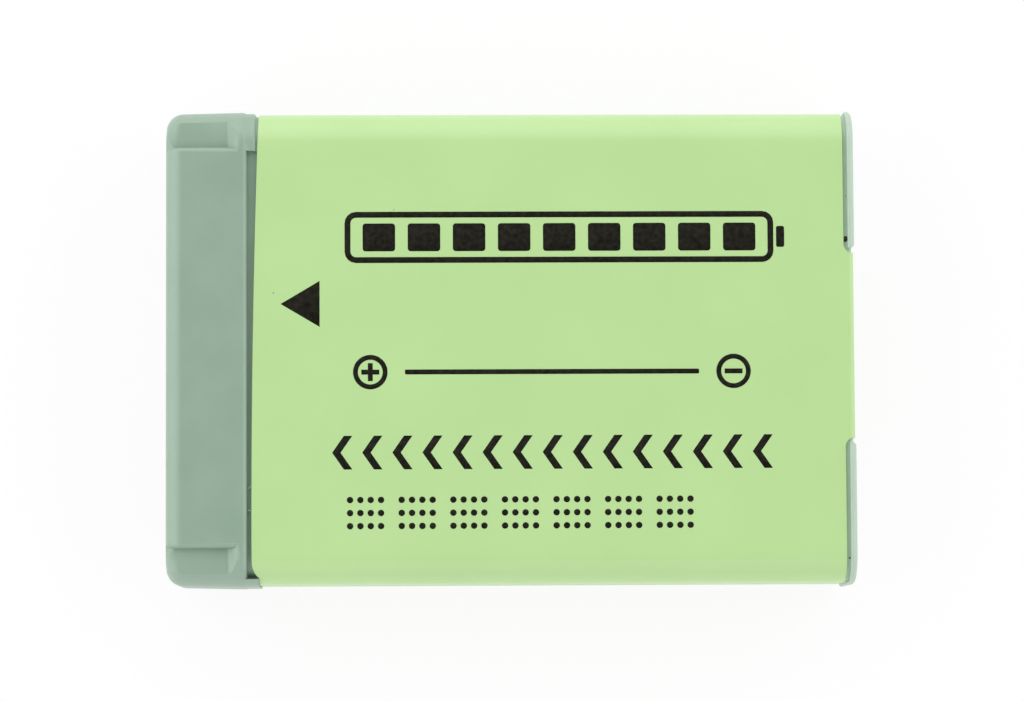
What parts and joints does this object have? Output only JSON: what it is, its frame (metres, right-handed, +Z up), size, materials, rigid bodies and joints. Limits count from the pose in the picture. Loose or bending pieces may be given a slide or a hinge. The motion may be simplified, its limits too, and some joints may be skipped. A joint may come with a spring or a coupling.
{
  "type": "camera battery",
  "caption": "Flat rechargeable camera battery pack with a wrapped cell, a moulded contact cap with guide pockets and a thin moulded tail frame.",
  "frame": {"origin": "middle of the underside, on the plane the pack lies on", "axes": "+X along the pack from the contact end to the tail, +Y across it, +Z up out of the printed face"},
  "size_m": [0.0424, 0.0294, 0.0092],
  "materials": {
    "film": "pale green printed film, satin",
    "moulding": "grey-green moulded plastic, fine matte",
    "can": "drawn aluminium, satin",
    "nickel": "nickel strip, satin",
    "gold": "gold-plated contact, semi-gloss",
    "board": "glass-fibre board with green mask",
    "insulation": "off-white insulating sheet",
    "black_moulding": "black moulded plastic",
    "chip_body": "ceramic chip, matte",
    "tape": "white double-sided tape"
  },
  "bodies": {
    "root": {"contact_cap": "moulding", "tail_frame": "moulding", "label_wrap": "film", "cell_can": "can", "terminal_gasket": "black_moulding", "terminal_rivet": "nickel", "fill_plug": "can", "lid_insulator": "insulation", "breaker_body": "black_moulding", "breaker_inlet_arm": "nickel", "breaker_outlet_arm": "nickel", "positive_plate": "nickel", "circuit_board": "board", "negative_weld_pad": "nickel", "positive_weld_pad": "nickel", "negative_lead": "nickel", "positive_lead": "nickel", "positive_contact": "gold", "sense_contact": "gold", "negative_contact": "gold", "protection_chip": "black_moulding", "switch_chip": "black_moulding", "thermistor": "chip_body", "chip_capacitors": "chip_body", "chip_resistors": "chip_body", "tail_tape": "tape"}
  },
  "joints": []
}
